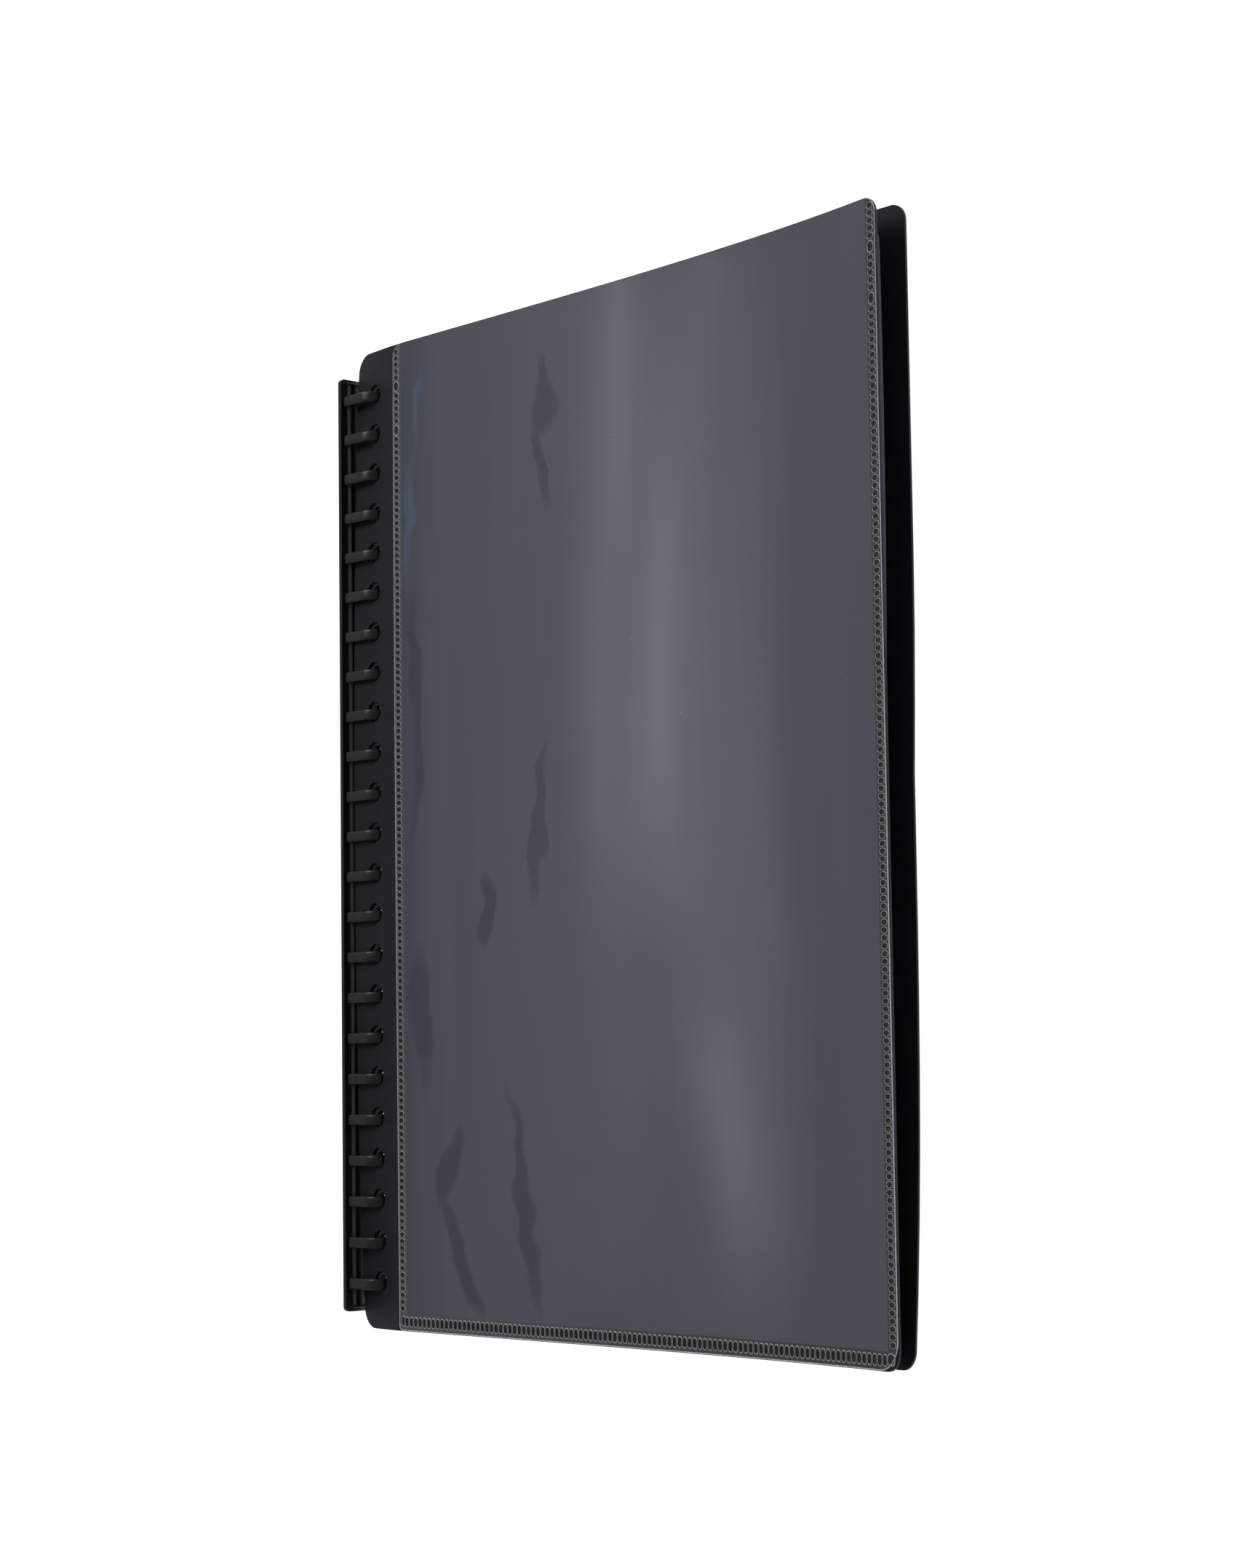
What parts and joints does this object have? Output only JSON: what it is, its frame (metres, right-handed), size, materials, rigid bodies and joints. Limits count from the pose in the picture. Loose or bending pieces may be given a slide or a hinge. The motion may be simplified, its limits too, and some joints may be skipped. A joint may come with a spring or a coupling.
{
  "type": "display book",
  "caption": "Refillable A4 display book: punched covers and clear pocket leaves on a plastic ring comb that a spine strip closes.",
  "frame": {"origin": "middle of the bounding box, on the surface that the book lies on", "axes": "+X from the spine to the fore edge, +Y up the page to the top edge, +Z out of the front cover"},
  "size_m": [0.2446, 0.308, 0.0124],
  "materials": {
    "cover_plastic": "fine matte polypropylene",
    "comb_plastic": "satin moulded",
    "clear_leaf": "clear film",
    "clear_film": "clear film, slightly milky"
  },
  "bodies": {
    "comb": {"comb_rail": "comb_plastic", "ring_01": "comb_plastic", "ring_02": "comb_plastic", "ring_03": "comb_plastic", "ring_04": "comb_plastic", "ring_05": "comb_plastic", "ring_06": "comb_plastic", "ring_07": "comb_plastic", "ring_08": "comb_plastic", "ring_09": "comb_plastic", "ring_10": "comb_plastic", "ring_11": "comb_plastic", "ring_12": "comb_plastic", "ring_13": "comb_plastic", "ring_14": "comb_plastic", "ring_15": "comb_plastic", "ring_16": "comb_plastic", "ring_17": "comb_plastic", "ring_18": "comb_plastic", "ring_19": "comb_plastic", "ring_20": "comb_plastic", "ring_21": "comb_plastic", "ring_22": "comb_plastic", "ring_23": "comb_plastic", "front_cover_margin": "cover_plastic", "back_cover_margin": "cover_plastic", "pocket_leaf_01_margin": "clear_leaf", "pocket_leaf_02_margin": "clear_leaf", "pocket_leaf_03_margin": "clear_leaf", "pocket_leaf_04_margin": "clear_leaf", "pocket_leaf_05_margin": "clear_leaf", "pocket_leaf_06_margin": "clear_leaf", "pocket_leaf_07_margin": "clear_leaf", "pocket_leaf_08_margin": "clear_leaf", "pocket_leaf_09_margin": "clear_leaf", "pocket_leaf_10_margin": "clear_leaf"},
    "spine_strip": {"spine_strip": "comb_plastic"},
    "front_cover": {"front_cover": "cover_plastic", "front_pocket_film": "clear_film"},
    "back_cover": {"back_cover": "cover_plastic"},
    "leaf_01": {"pocket_leaf_01": "clear_leaf"},
    "leaf_02": {"pocket_leaf_02": "clear_leaf"},
    "leaf_03": {"pocket_leaf_03": "clear_leaf"},
    "leaf_04": {"pocket_leaf_04": "clear_leaf"},
    "leaf_05": {"pocket_leaf_05": "clear_leaf"},
    "leaf_06": {"pocket_leaf_06": "clear_leaf"},
    "leaf_07": {"pocket_leaf_07": "clear_leaf"},
    "leaf_08": {"pocket_leaf_08": "clear_leaf"},
    "leaf_09": {"pocket_leaf_09": "clear_leaf"},
    "leaf_10": {"pocket_leaf_10": "clear_leaf"}
  },
  "joints": [
    {"name": "front_cover_bend", "type": "hinge", "parent": "comb", "child": "front_cover", "pos_m": [-0.10242, 0, 0.00662], "axis": [0, -1, 0], "range_deg": [0, 150]},
    {"name": "back_cover_bend", "type": "hinge", "parent": "comb", "child": "back_cover", "pos_m": [-0.10254, 0, 0.00232], "axis": [0, 1, 0], "range_deg": [0, 150]},
    {"name": "spine_strip_clip", "type": "hinge", "parent": "comb", "child": "spine_strip", "pos_m": [-0.12231, 0, 0.00004], "axis": [0, -1, 0], "range_deg": [0, 90]},
    {"name": "pocket_leaf_01_bend", "type": "hinge", "parent": "comb", "child": "leaf_01", "pos_m": [-0.09871, 0, 0.00332], "axis": [0, -1, 0], "range_deg": [0, 9]},
    {"name": "pocket_leaf_02_bend", "type": "hinge", "parent": "comb", "child": "leaf_02", "pos_m": [-0.099, 0, 0.00357], "axis": [0, -1, 0], "range_deg": [0, 18]},
    {"name": "pocket_leaf_03_bend", "type": "hinge", "parent": "comb", "child": "leaf_03", "pos_m": [-0.09929, 0, 0.00383], "axis": [0, -1, 0], "range_deg": [0, 27]},
    {"name": "pocket_leaf_04_bend", "type": "hinge", "parent": "comb", "child": "leaf_04", "pos_m": [-0.09959, 0, 0.00409], "axis": [0, -1, 0], "range_deg": [0, 36]},
    {"name": "pocket_leaf_05_bend", "type": "hinge", "parent": "comb", "child": "leaf_05", "pos_m": [-0.09988, 0, 0.00435], "axis": [0, -1, 0], "range_deg": [0, 45]},
    {"name": "pocket_leaf_06_bend", "type": "hinge", "parent": "comb", "child": "leaf_06", "pos_m": [-0.10017, 0, 0.00461], "axis": [0, -1, 0], "range_deg": [0, 54]},
    {"name": "pocket_leaf_07_bend", "type": "hinge", "parent": "comb", "child": "leaf_07", "pos_m": [-0.10047, 0, 0.00487], "axis": [0, -1, 0], "range_deg": [0, 63]},
    {"name": "pocket_leaf_08_bend", "type": "hinge", "parent": "comb", "child": "leaf_08", "pos_m": [-0.10076, 0, 0.00512], "axis": [0, -1, 0], "range_deg": [0, 72]},
    {"name": "pocket_leaf_09_bend", "type": "hinge", "parent": "comb", "child": "leaf_09", "pos_m": [-0.10105, 0, 0.00538], "axis": [0, -1, 0], "range_deg": [0, 81]},
    {"name": "pocket_leaf_10_bend", "type": "hinge", "parent": "comb", "child": "leaf_10", "pos_m": [-0.10134, 0, 0.00564], "axis": [0, -1, 0], "range_deg": [0, 90]}
  ],
  "couplings": [
    {"joint": "pocket_leaf_01_bend", "follows": "front_cover_bend", "ratio": 0.06},
    {"joint": "pocket_leaf_02_bend", "follows": "front_cover_bend", "ratio": 0.12},
    {"joint": "pocket_leaf_03_bend", "follows": "front_cover_bend", "ratio": 0.18},
    {"joint": "pocket_leaf_04_bend", "follows": "front_cover_bend", "ratio": 0.24},
    {"joint": "pocket_leaf_05_bend", "follows": "front_cover_bend", "ratio": 0.3},
    {"joint": "pocket_leaf_06_bend", "follows": "front_cover_bend", "ratio": 0.36},
    {"joint": "pocket_leaf_07_bend", "follows": "front_cover_bend", "ratio": 0.42},
    {"joint": "pocket_leaf_08_bend", "follows": "front_cover_bend", "ratio": 0.48},
    {"joint": "pocket_leaf_09_bend", "follows": "front_cover_bend", "ratio": 0.54},
    {"joint": "pocket_leaf_10_bend", "follows": "front_cover_bend", "ratio": 0.6}
  ]
}
